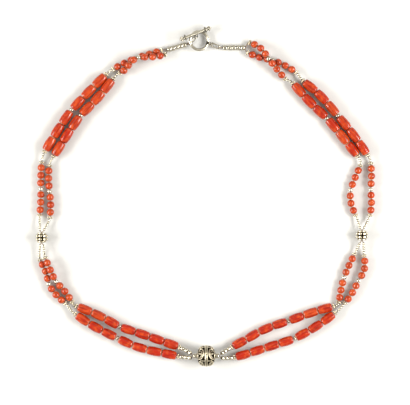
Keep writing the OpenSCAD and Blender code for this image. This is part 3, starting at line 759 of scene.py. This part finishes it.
# Clasp
# Toggle of cast silver: a round ring with an eye, and a bar with a granulated knob and a collar at each
# end and an eye under its middle. The ring leans on the link at its left. What polishing missed is black,
# the eyes are darker all over, and the rod's side that faces the ring is darkened with painted shade.
ring_lean, ring_turn, bar_turn, eye_roll = np.radians((12, -15, 22, 50))
leaning = np.array([[
    (np.cos(ring_lean), 0, -np.sin(ring_lean)), (0, 1, 0), (np.sin(ring_lean), 0, np.cos(ring_lean))
]])
ring_place = np.array([[-3.2, 69.6, 2.3]]) * MM
ring_radius, ring_wire, ring_columns = 4.1 * MM, 0.65 * MM, 96
# Millimetres from the ring's middle to the neck of its eye and to the eye
neck_reach, eye_reach = 4.7, 5.5
neck_granules, neck_granule, neck_radius = 6, 0.3 * MM, 0.65 * MM
# The drum under the neck's granules: radius and height in millimetres, and shade
neck_drum = np.array([(0, -0.5, 1), (0.8, -0.45, 1), (0.8, 0.45, 1), (0, 0.5, 1)]) * (MM, MM, 1)
# Both eyes are darker all over, by 0.4 added to the value of the wire
eye = skin(hoop(0.85 * MM, 0.25 * MM, columns=24, patina_and_painted_shade=0.4), wrap=True)

out = np.array([[np.cos(ring_turn), np.sin(ring_turn), 0]])
neck = [
    skin(placed(ball(neck_granule), *round_about(neck_granules, neck_radius))),
    skin(lathe(neck_drum, 24)),
]
band = hoop(ring_radius, ring_wire, rows=16, columns=ring_columns)
# The ring is black on both sides of the neck
from_neck = np.linspace(0, 2 * np.pi, ring_columns, endpoint=False) - 2 * np.pi - ring_turn
band[..., 3] += np.exp(-(from_neck**2) / 0.02)
parts = [
    skin(band, wrap=True),
    regrouped([eye], axes_along(np.cross((0, 0, 1), out)), out * eye_reach * MM),
    regrouped(neck, axes_along(out), out * neck_reach * MM),
]
piece("toggle_ring", regrouped(parts, leaning, ring_place), SHADE, bright_silver, "silver", "clasp_ring")

# Millimetres from the bar's middle to its knobs, its collars and the ends of its rod, and the rod's radius
knob_reach, collar_reach, rod_reach, rod_radius = 6.55, 4.95, 5.8, 0.7
knob_granules, knob_granule, granule_reach = 7, 0.36 * MM, 0.89 * MM
rod_rows, rod_columns = 30, 24
knob_core = ball(1.0 * MM, 9, 20)
knob_core[..., 3] = 0.45
granule = ball(knob_granule, 7, 12)
girdle = placed(granule, *round_about(knob_granules, granule_reach))
collar = turned_bead(0.3 * MM, 1.35 * MM, 0.65 * MM, 0.5, 32)
collar[..., 3] += 0.5
upright = np.eye(3)[None]
bar_parts = []
for end in (-1, 1):
    tip = placed(granule, *round_about(1, 0.0, end * granule_reach))
    knob = [skin(knob_core), skin(girdle), skin(tip)]
    bar_parts.append(regrouped(knob, upright, np.array([[0, 0, end * knob_reach * MM]])))
    collar_at = np.array([[0, 0, end * collar_reach * MM]])
    bar_parts.append(regrouped([skin(collar, wrap=True)], upright, collar_at))
# Painted shade: the rod is bright on top and dark along the side that faces the ring
rod_rings = [(rod_radius, z, 0) for z in np.linspace(-rod_reach, rod_reach, rod_rows)]
rod = lathe(np.array(rod_rings) * (MM, MM, 1), rod_columns)
rod[..., 3] = np.clip(0.8 * np.sin(np.linspace(0, 2 * np.pi, rod_columns, endpoint=False)), 0, 1)
bar_parts.append(skin(rod))
along = np.array([[np.cos(bar_turn), np.sin(bar_turn), 0]])
sideways = np.cross(along, (0, 0, 1))
down = np.array([[0, 0, -1]])
eye_drop = 1.6 * MM
under = eye_drop * (np.sin(eye_roll) * sideways + np.cos(eye_roll) * down)
eye_axis = np.cos(eye_roll) * sideways - np.sin(eye_roll) * down
bar_place = np.array([[-2, 3, 1.45]]) * MM
parts = [
    regrouped(bar_parts, axes_along(along), bar_place),
    regrouped([eye], axes_along(eye_axis, along), bar_place + under),
]
piece("toggle_bar", regrouped(parts, leaning, ring_place), SHADE, bright_silver, "silver", "clasp_bar")

# An oval link of round wire joins each eye to the loop of thread. Its mesh is the CAD model's.
for name in ("link_left", "link_right"):
    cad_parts[name].data.materials.clear()
    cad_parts[name].data.materials.append(bright_silver)
